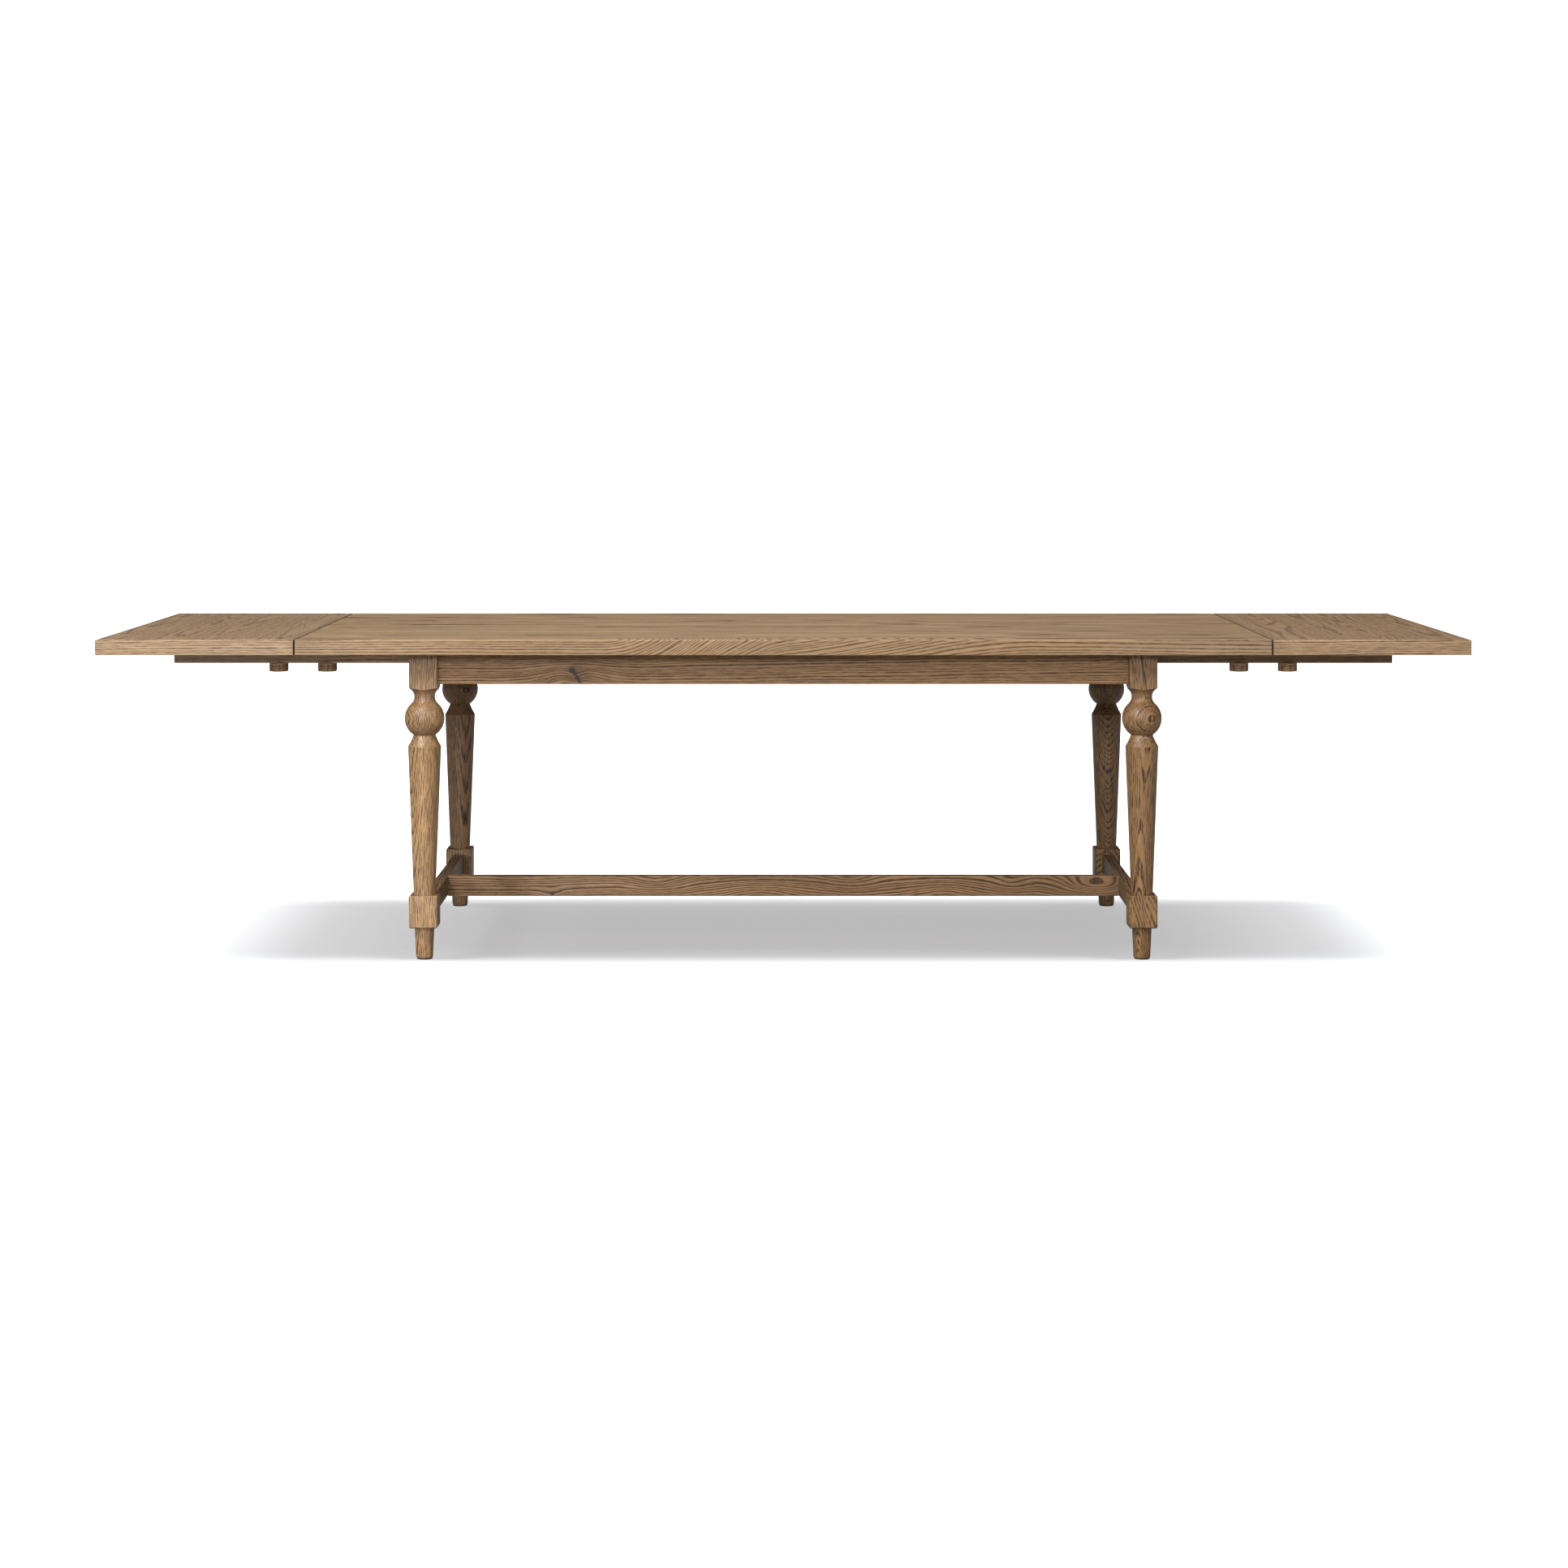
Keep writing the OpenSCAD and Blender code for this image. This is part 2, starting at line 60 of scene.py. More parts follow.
# ---- Shader graphs ----
class Graph:
    """One material's node tree, with short calls that add a node and link it."""

    def __init__(self, name):
        self.material = bpy.data.materials.new(name)
        self.material.use_nodes = True
        self.tree = self.material.node_tree
        self.tree.nodes.clear()
        self.coords = self.add("ShaderNodeTexCoord")
        self.position = self.coords.outputs["Object"]
        self.normal = self.coords.outputs["Normal"]

    def add(self, kind, inputs=(), **settings):
        node = self.tree.nodes.new(kind)
        for key, value in settings.items():
            setattr(node, key, value)
        for key, value in dict(inputs).items():
            self.feed(node.inputs[key], value)
        return node

    def feed(self, socket, value):
        if isinstance(value, bpy.types.NodeSocket):
            self.tree.links.new(value, socket)
        elif value is not None:
            socket.default_value = value

    def math(self, operation, a, b=None, c=None):
        return self.add("ShaderNodeMath", {0: a, 1: b, 2: c}, operation=operation).outputs[0]

    def vector(self, operation, a, b=None):
        node = self.add("ShaderNodeVectorMath", {0: a, 1: b}, operation=operation)
        return node.outputs["Value" if operation in ("LENGTH", "DOT_PRODUCT") else "Vector"]

    def join(self, x, y, z):
        return self.add("ShaderNodeCombineXYZ", {"X": x, "Y": y, "Z": z}).outputs[0]

    def split(self, vector):
        return self.add("ShaderNodeSeparateXYZ", {0: vector}).outputs

    def step(self, value, low, high, start=0.0, end=1.0):
        """start below low, end above high, and a smooth step between them."""
        inputs = {"Value": value, "From Min": low, "From Max": high, "To Min": start, "To Max": end}
        return self.add("ShaderNodeMapRange", inputs, interpolation_type="SMOOTHSTEP").outputs["Result"]

    def noise(self, vector, scale=1.0, detail=2.0, roughness=0.5):
        inputs = {"Vector": vector, "Scale": scale, "Detail": detail, "Roughness": roughness}
        return self.add("ShaderNodeTexNoise", inputs).outputs["Fac"]

    def stretched(self, vector, scale, detail=2.0, roughness=0.5):
        """Noise with its own scale along each axis."""
        return self.noise(self.vector("MULTIPLY", vector, scale), detail=detail, roughness=roughness)

    def mix(self, factor, a, b, blend="MIX"):
        node = self.add("ShaderNodeMix", data_type="RGBA", blend_type=blend)
        self.feed(node.inputs["Factor"], factor)
        self.feed(node.inputs[6], a if isinstance(a, bpy.types.NodeSocket) else (*a, 1))
        self.feed(node.inputs[7], b if isinstance(b, bpy.types.NodeSocket) else (*b, 1))
        return node.outputs[2]

    def blend(self, factor, a, b):
        """A number between a and b."""
        node = self.add("ShaderNodeMix", data_type="FLOAT")
        self.feed(node.inputs["Factor"], factor)
        self.feed(node.inputs[2], a)
        self.feed(node.inputs[3], b)
        return node.outputs[0]

    def finish(self, colour, roughness, height=None, bump_distance=0.0, bump_strength=0.0, **constants):
        """The whole material: height, if any, is a relief of bump_distance metres."""
        inputs = {"Base Color": colour, "Roughness": roughness, **constants}
        shader = self.add("ShaderNodeBsdfPrincipled", inputs)
        if height is not None:
            bump = self.add("ShaderNodeBump", {"Height": height, "Distance": bump_distance,
                                               "Strength": bump_strength})
            self.tree.links.new(bump.outputs[0], shader.inputs["Normal"])
        output = self.add("ShaderNodeOutputMaterial")
        self.tree.links.new(shader.outputs[0], output.inputs["Surface"])
        return self.material


def linear(red, green, blue):
    """A colour given as 0-255 screen values, as the linear numbers that shaders take."""
    def channel(value):
        value /= 255
        return value / 12.92 if value <= 0.04045 else ((value + 0.055) / 1.055) ** 2.4
    return tuple(channel(value) for value in (red, green, blue))


# ---- Oak ----
def edge_mask(g, low, high, width):
    """1 on the edges of the box from low to high, 0 further than width from them."""
    centre = (low + high) / 2
    half = (high - low) / 2
    place = g.vector("ABSOLUTE", g.vector("SUBTRACT", g.position, tuple(centre)))
    near = [g.step(value, half[i] - width, half[i]) for i, value in enumerate(g.split(place))]
    pairs = [g.math("MULTIPLY", near[i], near[j]) for i, j in ((0, 1), (1, 2), (0, 2))]
    return g.math("MAXIMUM", g.math("MAXIMUM", pairs[0], pairs[1]), pairs[2])


def swell(g, flow, figure, axis):
    """Pushes the grain out round a spot.

    figure: (spot, (reach along the grain, reach across it), height)."""
    spot, (reach_u, reach_v), height = figure
    scale = [reach_v] * 3
    scale[axis] = reach_u
    gap = g.vector("DIVIDE", g.vector("SUBTRACT", g.position, spot), tuple(scale))
    fall = g.math("POWER", math.e, g.math("MULTIPLY", g.vector("DOT_PRODUCT", gap, gap), -1.0))
    return g.math("MULTIPLY_ADD", fall, height, flow)


def local_flow(g, along, first_board, swells, slants, axis):
    """How far the local figure pushes the grain aside."""
    flow = 0.0
    for figure in swells:
        flow = swell(g, flow, figure, axis)
    for start, end, amount in slants:
        flow = g.math("MULTIPLY_ADD", g.step(along, start, end, 0.0, amount), first_board, flow)
    return flow


def split_knot(g, spot, run, width, facing):
    """Mask of a dark, ragged split with a soft halo: run is half of its length, as a vector from its middle,
    and it lies on a surface that looks along facing."""
    run = Vector(run)
    side = run.cross(Vector(facing)).normalized()
    gap = g.vector("SUBTRACT", g.position, spot)
    ragged = g.noise(g.position, scale=120.0, detail=4, roughness=0.7)
    along = g.math("DIVIDE", g.vector("DOT_PRODUCT", gap, tuple(run.normalized())), run.length)
    across = g.math("MULTIPLY_ADD", g.math("SUBTRACT", ragged, 0.5), 0.016,
                    g.vector("DOT_PRODUCT", gap, tuple(side)))
    across = g.math("DIVIDE", across, width)
    spread = g.math("MULTIPLY_ADD", across, across, g.math("MULTIPLY", along, along))
    halo = g.step(g.vector("LENGTH", gap), 0.4 * run.length, 1.9 * run.length, 0.34, 0.0)
    return g.math("MAXIMUM", g.step(spread, 0.35, 1.5, 1.0, 0.0), halo)


def all_knots(g, knots):
    """Mask of every split knot of a piece."""
    masks = [split_knot(g, *knot) for knot in knots]
    whole = masks[0]
    for mask in masks[1:]:
        whole = g.math("MAXIMUM", whole, mask)
    return whole


def glue_up(g, across, first_edge, width):
    """Cuts a panel into boards: the place across a board, its number, and masks of the joint lines and of
    the first board, which starts at first_edge."""
    end = first_edge + width
    first_board = g.step(across, end - 0.0002, end + 0.0002, 1.0, 0.0)
    place = g.math("DIVIDE", g.math("ADD", across, width * 8), width)
    board = g.math("FLOOR", place)
    fraction = g.math("SUBTRACT", place, board)
    edge = g.math("MINIMUM", fraction, g.math("SUBTRACT", 1.0, fraction))
    joint_line = g.step(edge, 0.0, 0.0007 / width, 1.0, 0.0)
    across = g.math("MULTIPLY", g.math("SUBTRACT", fraction, 0.5), width)
    return across, board, joint_line, first_board


def pith_distance(g, place, point, pith, tilt, wander_depth):
    """Distance from the pith. It wanders slowly along the grain, and wavers finely."""
    along, across, deep = place
    wander = g.stretched(point, (0.9, 5.0, 5.0))
    waver = g.stretched(point, (7.0, 40.0, 40.0), detail=3)
    pith_across = g.math("MULTIPLY_ADD", along, tilt[0], pith[0])
    pith_deep = g.math("MULTIPLY_ADD", along, tilt[1], pith[1])
    from_pith = g.join(0.0, g.math("SUBTRACT", across, pith_across), g.math("SUBTRACT", deep, pith_deep))
    radius = g.vector("LENGTH", from_pith)
    radius = g.math("MULTIPLY_ADD", g.math("SUBTRACT", wander, 0.5), 0.030 * wander_depth, radius)
    return g.math("MULTIPLY_ADD", g.math("SUBTRACT", waver, 0.5), 0.0042, radius)


def early_wood(g, radius, ring, seed):
    """Profile of a ring: a sharp porous line of early wood that fades into the dense late wood."""
    phase = g.math("DIVIDE", radius, ring)
    uneven = g.noise(g.join(g.math("MULTIPLY", phase, 0.31), seed, 0.0), detail=0)
    turn = g.math("FRACT", g.math("MULTIPLY_ADD", uneven, 2.2, phase))
    return g.math("MULTIPLY", g.step(turn, 0.0, 0.09), g.step(turn, 0.16, 0.52, 1.0, 0.0))


def open_pores(g, point, early):
    """Long thin vessels, crowded in the early wood, and the dashes that they gather into."""
    vessel = g.step(g.stretched(point, (62.0, 900.0, 900.0), roughness=0.6), 0.50, 0.62)
    dash = g.step(g.stretched(point, (30.0, 300.0, 300.0), roughness=0.6), 0.42, 0.58)
    crowd = g.math("MULTIPLY_ADD", early, 0.75, 0.25)
    pores = g.math("MULTIPLY", g.math("MULTIPLY_ADD", vessel, 0.45, g.math("MULTIPLY", dash, 0.55)), crowd)
    return pores, dash


def bare_wood(g, point, streaks, tones, board_shade):
    """Broad streaks along the grain, soft clouds, a shade for each board, and pale ray flecks."""
    clouds = g.stretched(point, (3.5, 9.0, 9.0), detail=3)
    flecks = g.stretched(point, (90.0, 240.0, 60.0), detail=1)
    colour = g.mix(g.step(streaks, 0.32, 0.68), tones["body"], tones["light"])
    colour = g.mix(g.math("MULTIPLY", g.step(clouds, 0.42, 0.72), 0.45), colour, tones["cool"])
    if board_shade is not None:
        colour = g.mix(g.math("MULTIPLY", board_shade, 0.35), colour, tones["body"])
    return g.mix(g.math("MULTIPLY", g.step(flecks, 0.60, 0.74), 0.20), colour, tones["light"])


def painted_seam_shade(g, normals):
    """Mask of the painted shade along the seam between the main top and a leaf, weaker on the faces in the
    seam.
    """
    reach = g.math("ABSOLUTE", g.math("SUBTRACT", g.math("ABSOLUTE", g.split(g.position)["X"]), SEAM_X))
    exposed = g.step(normals["X"], 0.6, 0.9, 1.0, 0.4)
    return g.math("MULTIPLY", g.step(reach, 0.0018, 0.0034, 0.97, 0.0), exposed)


def oak(name, box, grain, seed, pith, tilt, ring, tones, tint=(1, 1, 1), swells=(), slants=(), knots=(),
        staves=None, edge_strips=False, edge_width=0.0025, wander_depth=1.0, line_depth=1.0, pore_depth=0.9,
        gloss=0.40, front_edge_shade=None):
    """Solid oak. Growth rings are shells round the tree's pith, so every face of a piece, and every turned
    curve, shows the cut that it would show in real wood.

    box: the piece's lowest and highest corners, for the pale edges of wear and painted highlight.
    grain: the axis that the grain follows. seed: picks the wood's own pattern.
    pith: the pith's place across the grain, from the box's centre.
    tilt: how far the pith moves across the grain for each metre along it. ring: width of a growth ring.
    tones: the wood's colours, each multiplied by tint. swells: local swirls, for swell().
    slants: stretches (from, to, amount) along the grain over which a panel's first board has its rings
    shifted by amount. knots: for split_knot(). staves: width of the boards that a panel is glued up from.
    edge_strips: the front and back edges are strips with their grain along X.
    edge_width: how far the pale edges of wear and painted highlight reach. wander_depth: how much the rings
    wander.
    line_depth, pore_depth: how dark the ring lines and the pores are. gloss: the roughness of the smoothest
    spots. front_edge_shade: colour multiplied into the middle of the front and back edges, painted shade that
    makes them darker and warmer than the top."""
    tones = {key: tuple(c * t for c, t in zip(tone, tint)) for key, tone in tones.items()}
    g = Graph(name)
    low, high = box
    centre = (low + high) / 2
    letters = GRAIN[grain]
    axes = g.split(g.vector("SUBTRACT", g.position, tuple(centre)))
    along, across, deep = (axes[letter] for letter in letters)
    normals = g.split(g.vector("ABSOLUTE", g.normal))
    end_grain = g.step(normals[letters[0]], 0.75, 0.9)
    if edge_strips:
        strip = g.step(normals["Y"], 0.5, 0.6)
        along, across = g.blend(strip, along, axes["X"]), g.blend(strip, across, axes["Y"])
        end_grain = 0.0
    board, first_board = 0.0, 1.0
    if staves:
        first_edge = (low - centre)["XYZ".index(letters[1])]
        across, board, joint_line, first_board = glue_up(g, across, first_edge, staves)
    dice = g.split(g.add("ShaderNodeTexWhiteNoise", {"Vector": g.join(board, seed, 0.37)}).outputs["Color"])
    shift, spread = (BOARD_SHIFT, BOARD_SPREAD) if staves else (0.0, 0.0)
    along_tree = g.math("ADD", along, g.math("MULTIPLY", dice[0], shift))
    point = g.vector("ADD", g.join(along_tree, across, deep), (seed * 3.1, seed * 1.7, seed * 2.3))
    board_pith = (g.math("MULTIPLY_ADD", g.math("SUBTRACT", dice[1], 0.5), spread, pith[0]),
                  g.math("MULTIPLY_ADD", dice[2], -spread, pith[1]))

    # local figure bends the rings, and the pores and streaks with them
    flow = local_flow(g, along, first_board, swells, slants, "xyz".index(grain))
    radius = pith_distance(g, (along, across, deep), point, board_pith, tilt, wander_depth)
    early = early_wood(g, g.math("ADD", radius, flow), ring, seed)
    point = g.vector("ADD", point, g.join(0.0, 0.0, flow))

    pores, dash = open_pores(g, point, early)
    check = g.step(g.stretched(point, (11.0, 190.0, 190.0), detail=1), 0.755, 0.80)
    streaks = g.stretched(point, (2.2, 85.0, 85.0), detail=4, roughness=0.65)
    colour = bare_wood(g, point, streaks, tones, dice[2] if staves else None)
    line = g.math("MULTIPLY", early, g.math("MULTIPLY_ADD", dash, 0.35 * line_depth, 0.60 * line_depth))
    if edge_strips:
        line = g.math("MULTIPLY", line, g.math("MULTIPLY_ADD", strip, 0.75, 0.35))
    colour = g.mix(line, colour, tones["ring"])
    colour = g.mix(g.math("MULTIPLY", pores, pore_depth), colour, tones["pore"])
    colour = g.mix(g.math("MULTIPLY", check, 0.5), colour, tones["pore"])
    colour = g.mix(g.math("MULTIPLY", end_grain, 0.55), colour, tones["ring"])
    if knots:
        colour = g.mix(g.math("MULTIPLY", all_knots(g, knots), 0.92), colour, tones["knot"])
    if staves:
        colour = g.mix(g.math("MULTIPLY", joint_line, 0.22), colour, tones["pore"])
    # painted shade: the leaf boards are darkened against their edge strips, for the duller sheen of oak seen
    # along its grain
    if edge_strips:
        dark = g.math("MULTIPLY", g.math("SUBTRACT", 1.0, strip), 0.30)
        colour = g.mix(dark, colour, tones["ring"])
    # painted shade: the middle of the front and back edges is darkened and warmed against the top
    if front_edge_shade is not None:
        middle_edge_shade = g.math("MULTIPLY", g.step(normals["Y"], 0.5, 0.6),
                       g.step(g.math("ABSOLUTE", along), 0.55, 1.05, 1, 0))
        colour = g.mix(middle_edge_shade, colour, front_edge_shade, "MULTIPLY")

    # edges are painted paler and smoother: wear from handling, and a painted highlight along the arrises
    rub = g.noise(g.position, scale=38.0, detail=3)
    wear_and_highlight = g.math("MULTIPLY", edge_mask(g, low, high, edge_width), g.step(rub, 0.36, 0.6))
    colour = g.mix(g.math("MULTIPLY", wear_and_highlight, 0.40), colour, tones["wear_and_highlight"])
    # painted shade: a near-black line along the seam between the main top and a leaf
    if staves:
        colour = g.mix(painted_seam_shade(g, normals), colour, tones["seam_shade"])

    smear = g.noise(g.position, scale=9.0, detail=3)
    rough = g.math("MULTIPLY_ADD", smear, 0.16, gloss)
    rough = g.math("MULTIPLY_ADD", pores, 0.25, rough)
    rough = g.math("MULTIPLY_ADD", wear_and_highlight, -0.08, rough)
    height = g.math("MULTIPLY_ADD", pores, -0.7, g.math("MULTIPLY", early, -0.25))
    height = g.math("MULTIPLY_ADD", streaks, 0.15, height)
    return g.finish(colour, rough, height, 0.0004, 0.6, **{"Specular IOR Level": 0.5})


# seam_shade is the colour of the painted shade along the seams of the tops
TOP_TONES = {"light": linear(190, 160, 124), "body": linear(166, 136, 101), "cool": linear(158, 134, 106),
             "ring": linear(104, 74, 44), "pore": linear(62, 42, 26), "knot": linear(60, 42, 30),
             "wear_and_highlight": linear(215, 190, 158), "seam_shade": linear(26, 19, 14)}
BASE_TONES = {"light": linear(176, 143, 104), "body": linear(150, 118, 82), "cool": linear(140, 114, 84),
              "ring": linear(94, 66, 40), "pore": linear(58, 40, 25), "knot": linear(40, 27, 20),
              "wear_and_highlight": linear(205, 176, 140)}
ARM_TONES = {"light": linear(128, 110, 90), "body": linear(110, 92, 74), "cool": linear(102, 90, 78),
             "ring": linear(84, 68, 54), "pore": linear(52, 42, 34), "wear_and_highlight": linear(150, 134, 114)}
KNOB_TONES = {"light": linear(124, 98, 70), "body": linear(100, 76, 52), "cool": linear(92, 72, 54),
              "ring": linear(70, 50, 34), "pore": linear(40, 28, 20), "wear_and_highlight": linear(150, 122, 92)}
PLATE_TONES = {"light": linear(196, 170, 134), "body": linear(176, 150, 116), "cool": linear(166, 144, 116),
               "ring": linear(140, 112, 82), "pore": linear(104, 80, 56), "wear_and_highlight": linear(220, 200, 172)}


# ---- Other materials ----
def metal(name, colour, dull, grit):
    """Plated or cast metal: fine scratches, soft blotches and a fine grit."""
    g = Graph(name)
    blotch = g.noise(g.position, scale=120.0, detail=4)
    scratch = g.stretched(g.position, (300.0, 300.0, 2600.0))
    grain = g.noise(g.position, scale=grit, detail=2)
    shade = g.mix(g.step(blotch, 0.35, 0.75), colour, dull)
    shade = g.mix(g.math("MULTIPLY", g.step(scratch, 0.55, 0.7), 0.3), shade, dull)
    rough = g.math("MULTIPLY_ADD", blotch, 0.3, 0.18)
    height = g.math("MULTIPLY_ADD", scratch, 0.5, g.math("MULTIPLY", grain, 0.5))
    return g.finish(shade, rough, height, 0.00005, 0.4, Metallic=1.0)


def nylon(name):
    """Dark nylon pad, scuffed where it meets the floor."""
    g = Graph(name)
    grain = g.noise(g.position, scale=1400.0, detail=2)
    scuff = g.stretched(g.position, (160.0, 40.0, 160.0), detail=4)
    shade = g.mix(g.step(scuff, 0.5, 0.72), linear(44, 40, 36), linear(82, 76, 68))
    rough = g.math("MULTIPLY_ADD", scuff, 0.3, 0.5)
    return g.finish(shade, rough, grain, 0.0001, 0.4)


def paint(node, material):
    """Gives a CAD node one material all over."""
    slots = NODES[node].data.materials
    slots.clear()
    slots.append(material)


# ---- Dressing the CAD nodes ----
# Tints are matched piece by piece, under this scene's lights. They hold some painted light and shade as well as
# the wood's own colour, so under other lights the arms and the legs differ more than real oak would.
def dress_tops():
    """The main top and the leaves, each glued up from boards."""
    # the first board is the front one: its rings climb steeply left of the middle, then level out
    paint("main_top", oak("oak_main_top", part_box("main_top"), "x", 1.3, (0.0, -0.055), (0.01, 0.006), 0.0062,
                          TOP_TONES, (0.88, 0.86, 0.81), slants=((-0.42, 0.02, -0.16), (-0.10, 0.60, -0.07)),
                          staves=0.127, line_depth=1.3, front_edge_shade=(0.96, 0.90, 0.78)))
    tints = {"left": (0.92, 0.93, 0.96), "right": (0.91, 0.88, 0.84)}
    # a small knot near the left leaf's seam
    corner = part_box("leaf_left")[1]
    spot = (corner.x - 0.077, -0.06, corner.z)
    swells = {"left": ((spot, (0.040, 0.022), 0.022),), "right": ()}
    knots = {"left": ((spot, (0.002, 0.008, 0), 0.004, UP),), "right": ()}
    for index, end in enumerate(ENDS):
        paint(f"leaf_{end}", oak(f"oak_leaf_{end}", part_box(f"leaf_{end}"), "y", 4.7 + 2.2 * index,
                                 (0.0, -0.060), (0.02, 0.01), 0.0040, TOP_TONES, tints[end],
                                 swells=swells[end], knots=knots[end], staves=0.116, edge_strips=True,
                                 pore_depth=1.2))


def dress_base():
    """Legs, aprons, stretchers, rails and corner blocks."""
    # each leg: pith, its tilt, ring width and tint
    legs = {"front_left": ((0.09, 0.05), (0.02, 0.02), 0.0027, (1.02, 0.96, 0.86)),
            "front_right": ((0.00, 0.09), (-0.20, -0.037), 0.0024, (0.78, 0.69, 0.55)),
            "back_left": ((-0.06, 0.10), (0.03, 0.02), 0.0027, (0.84, 0.78, 0.72)),
            "back_right": ((-0.005, 0.12), (0.01, 0.13), 0.0027, (0.79, 0.73, 0.60))}
    for index, (corner, (pith, tilt, ring, tint)) in enumerate(legs.items()):
        node = f"leg_{corner}"
        paint(node, oak(f"oak_{node}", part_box(node), "z", 10.3 + 3.1 * index, pith, tilt, ring,
                        BASE_TONES, tint, wander_depth=0.3, line_depth=0.60, gloss=0.30, pore_depth=1.9))
    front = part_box("apron_front")[0].y
    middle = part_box("stretcher_middle")[0].y
    swells = {"apron_front": (((-0.498, front, 0.668), (0.085, 0.034), -0.022),
                              ((-0.492, front, 0.673), (0.020, 0.016), 0.012)),
              "stretcher_middle": (((-0.577, middle, 0.090), (0.030, 0.020), 0.010),
                                   ((-0.310, middle, 0.120), (0.075, 0.030), 0.018),
                                   ((-0.060, middle, 0.095), (0.090, 0.030), -0.016),
                                   ((0.170, middle, 0.125), (0.070, 0.026), 0.014),
                                   ((0.400, middle, 0.100), (0.080, 0.028), -0.014),
                                   ((0.570, middle, 0.120), (0.050, 0.022), 0.014),
                                   ((0.785, middle, 0.112), (0.100, 0.030), 0.038))}
    knots = {"apron_front": (((-0.489, front, 0.669), (0.0110, 0, -0.018), 0.0052, FRONT),
                             ((-0.498, front, 0.683), (0.0065, 0, -0.009), 0.0074, FRONT)),
             "stretcher_middle": (((-0.577, middle, 0.092), (0.006, 0, -0.002), 0.0035, FRONT),)}
    # pith, ring width and tint where they differ from the rest
    special = {"apron_front": ((0.02, -0.15), 0.0046, (0.98, 0.84, 0.62)),
               "stretcher_middle": ((0.03, -0.09), 0.0060, (0.80, 0.71, 0.58)),
               "stretcher_left": ((-0.03, 0.10), 0.0036, (0.60, 0.56, 0.54)),
               "stretcher_right": ((0.03, 0.11), 0.0036, (0.60, 0.56, 0.54))}
    runs = {"apron_front": "x", "apron_back": "x", "apron_left": "y", "apron_right": "y",
            "stretcher_left": "y", "stretcher_right": "y", "stretcher_middle": "x",
            "guide_rail_left": "y", "guide_rail_right": "y", "middle_rail": "y", "corner_blocks": "z"}
    wander = {"stretcher_middle": 1.8, "apron_front": 1.2}
    lines = {"stretcher_middle": 2.0}
    for index, (node, grain) in enumerate(runs.items()):
        usual = ((0.03, -0.10 - 0.004 * index), 0.0040, (0.72, 0.66, 0.60))
        pith, ring, tint = special.get(node, usual)
        paint(node, oak(f"oak_{node}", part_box(node), grain, 25.1 + 2.7 * index, pith, (0.012, 0.015), ring,
                        BASE_TONES, tint, swells.get(node, ()), knots=knots.get(node, ()),
                        wander_depth=wander.get(node, 1.0), line_depth=lines.get(node, 1.3),
                        pore_depth=1.4))


def dress_arms():
    """The pull-out arms, the knobs and plates under them, and the blocks that stop them."""
    for i, side in enumerate(SIDES):
        for j, end in enumerate(ENDS):
            node = f"arm_{side}_{end}"
            seed = 60.7 + 4.3 * i + 1.9 * j
            # painted light: the left arms' tint is lifted to stand for the light that falls on them, the right
            # ones' less
            tint = (2.80, 2.60, 2.25) if end == "left" else (1.58, 1.27, 0.78)
            paint(node, oak(f"oak_{node}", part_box(node), "x", seed, (0.10, 0.04), (0.01, 0.01), 0.0032,
                            ARM_TONES, tint, line_depth=0.5))
            for k, place in enumerate(PLACES):
                tag = f"{side}_{end}_{place}"
                paint(f"knob_{tag}", oak(f"oak_knob_{tag}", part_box(f"knob_{tag}"), "x", seed + 11.3 + 0.7 * k,
                                         (0.02, 0.05), (0.0, 0.0), 0.0030, KNOB_TONES, (1.7, 1.6, 1.38),
                                         edge_width=0.0015, gloss=0.34))
                paint(f"plate_{tag}", oak(f"oak_plate_{tag}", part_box(f"plate_{tag}"), "x",
                                          seed + 21.9 + 0.9 * k, (0.03, 0.06), (0.0, 0.0), 0.0030,
                                          PLATE_TONES, edge_width=0.001))
    paint("arm_stops", oak("oak_arm_stops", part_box("arm_stops"), "x", 91.3, (0.05, 0.06), (0.0, 0.0), 0.0040,
                           ARM_TONES))


def dress_hardware():
    """Bolts, clips, screws, studs, inserts, pins and the pads under the feet."""
    zinc = metal("zinc_plated_steel", linear(196, 198, 200), linear(136, 138, 142), 900.0)
    brass = metal("dull_brass", linear(196, 160, 92), linear(132, 102, 58), 1200.0)
    for node in ("hanger_bolts", "bolt_washers", "bolt_nuts", "top_clips", "clip_screws"):
        paint(node, zinc)
    for side in SIDES:
        for end in ENDS:
            for place in PLACES:
                paint(f"stud_{side}_{end}_{place}", zinc)
    for node in ("top_inserts", "pin_sleeves", "leaf_inserts_left", "leaf_inserts_right",
                 "leaf_pins_left", "leaf_pins_right"):
        paint(node, brass)
    paint("foot_glides", nylon("dark_nylon"))


# ---- Stage ----
def group(name, members):
    """A collection that lights are linked to."""
    collection = bpy.data.collections.new(name)
    for member in members:
        collection.objects.link(member)
    return collection


def make_floor():
    """White sweep. It throws back less light than it shows, as if dark flags stood round the set."""
    bpy.ops.mesh.primitive_plane_add(size=120, location=(0, 0, 0))
    floor = bpy.context.object
    floor.name = "floor"
    g = Graph("white_sweep")
    mottle = g.noise(g.position, scale=0.4, detail=2)
    seen = g.mix(mottle, (0.838, 0.85, 0.870), (0.858, 0.87, 0.890))
    rays = g.add("ShaderNodeLightPath")
    colour = g.mix(rays.outputs["Is Camera Ray"], (0.22, 0.22, 0.22), seen)
    floor.data.materials.append(g.finish(colour, 0.9, **{"Specular IOR Level": 0.0}))
    return floor


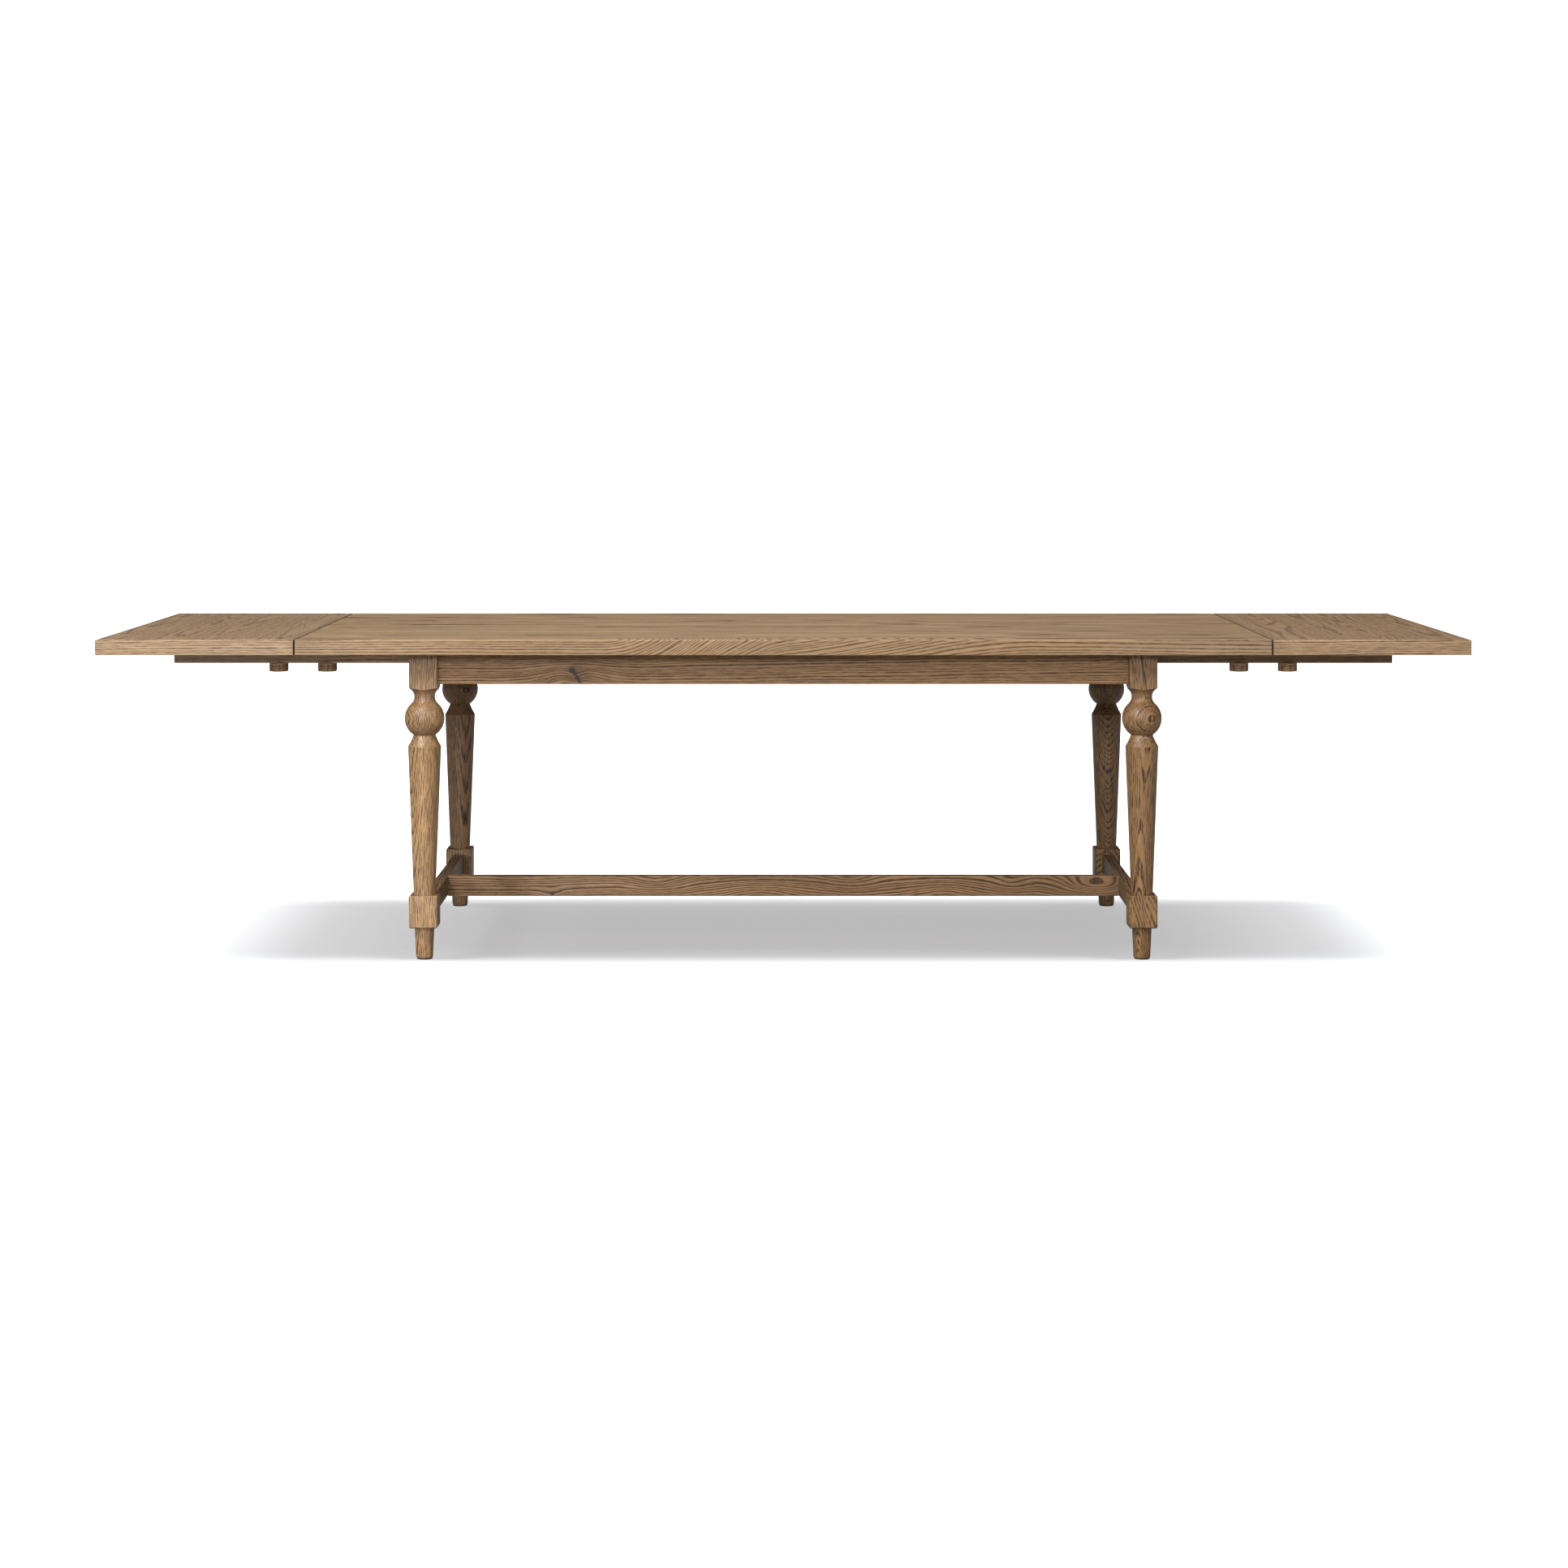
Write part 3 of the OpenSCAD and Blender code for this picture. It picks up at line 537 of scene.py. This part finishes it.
def add_light(name, kind, energy, receivers):
    data = bpy.data.lights.new(name, kind)
    data.energy = energy
    light = bpy.data.objects.new(name, data)
    bpy.context.scene.collection.objects.link(light)
    light.light_linking.receiver_collection = receivers
    return light


def aim(light, place, target):
    """Stands a light at place, turned to target."""
    light.location = place
    light.rotation_euler = (Vector(target) - Vector(place)).to_track_quat("-Z", "Y").to_euler()


def soft_box(name, place, target, size, watts, receivers, glossy=True):
    light = add_light(name, "AREA", watts, receivers)
    light.data.shape = "RECTANGLE"
    light.data.size, light.data.size_y = size
    light.visible_camera = False
    light.visible_glossy = glossy
    aim(light, place, target)


def make_lights(floor):
    """Soft boxes light the table. A row of wide suns overhead, like one long strip, draws its shadow."""
    table = group("lit_by_soft_boxes", [NODES[node] for node in NODES])
    sweep = group("lit_by_strip", [floor])
    for tilt, energy in ((-40, 0.95), (-19.4, 1.45), (19.4, 1.45), (40, 0.95)):
        sun = add_light(f"strip_{tilt}", "SUN", energy, sweep)
        sun.data.angle = math.radians(17 if abs(tilt) < 30 else 30)
        sun.rotation_euler = (math.radians(2.3), math.radians(tilt - 5), 0)
    base = add_light("sweep_fill", "SUN", 1.60, sweep)
    base.data.use_shadow = False

    soft_box("key", (-2.4, -3.6, 4.0), (-0.2, -0.4, 0.4), (2.0, 2.0), 300, table)
    soft_box("fill", (3.4, -4.2, 3.4), (0.4, -0.4, 0.4), (2.0, 1.6), 80, table)
    soft_box("low_front", (-0.8, -6.4, 2.1), (0, -0.4, 0.5), (3.0, 0.9), 185, table)
    soft_box("over", (0.5, 0.8, 3.6), (0.3, 0, 0.7), (4.0, 1.4), 62, table)
    soft_box("low_rear", (0.8, 5.2, 0.40), (0, 0.4, 0.40), (3.0, 0.5), 60, table, glossy=False)
    spot = add_light("low_left", "SPOT", 400, table)
    spot.data.spot_size, spot.data.spot_blend = math.radians(13), 1.0
    spot.data.shadow_soft_size = 0.25
    aim(spot, (-2.6, -4.6, 0.7), (-0.85, -0.4, 0.08))

    world = bpy.data.worlds.new("studio")
    bpy.context.scene.world = world
    world.use_nodes = True
    tree = world.node_tree
    background = tree.nodes["Background"]
    background.inputs["Color"].default_value = (1, 1, 1, 1)
    rays = tree.nodes.new("ShaderNodeLightPath")
    strength = tree.nodes.new("ShaderNodeMapRange")
    strength.inputs["To Min"].default_value = 0.09
    strength.inputs["To Max"].default_value = 1.0
    tree.links.new(rays.outputs["Is Camera Ray"], strength.inputs["Value"])
    tree.links.new(strength.outputs["Result"], background.inputs["Strength"])


def make_camera():
    """Level long lens in front of the table, with its view shifted down."""
    data = bpy.data.cameras.new("camera")
    data.sensor_width = 36
    data.lens = 71.3
    data.shift_x = 0.0005
    data.shift_y = -0.2314
    data.clip_end = 200
    camera = bpy.data.objects.new("camera", data)
    camera.location = (0, cad_box[0].y - CAMERA_DISTANCE, CAMERA_HEIGHT)
    camera.rotation_euler = (math.radians(90), 0, 0)
    bpy.context.scene.collection.objects.link(camera)
    bpy.context.scene.camera = camera
    bpy.context.scene.view_settings.view_transform = "Standard"


dress_tops()
dress_base()
dress_arms()
dress_hardware()
make_lights(make_floor())
make_camera()
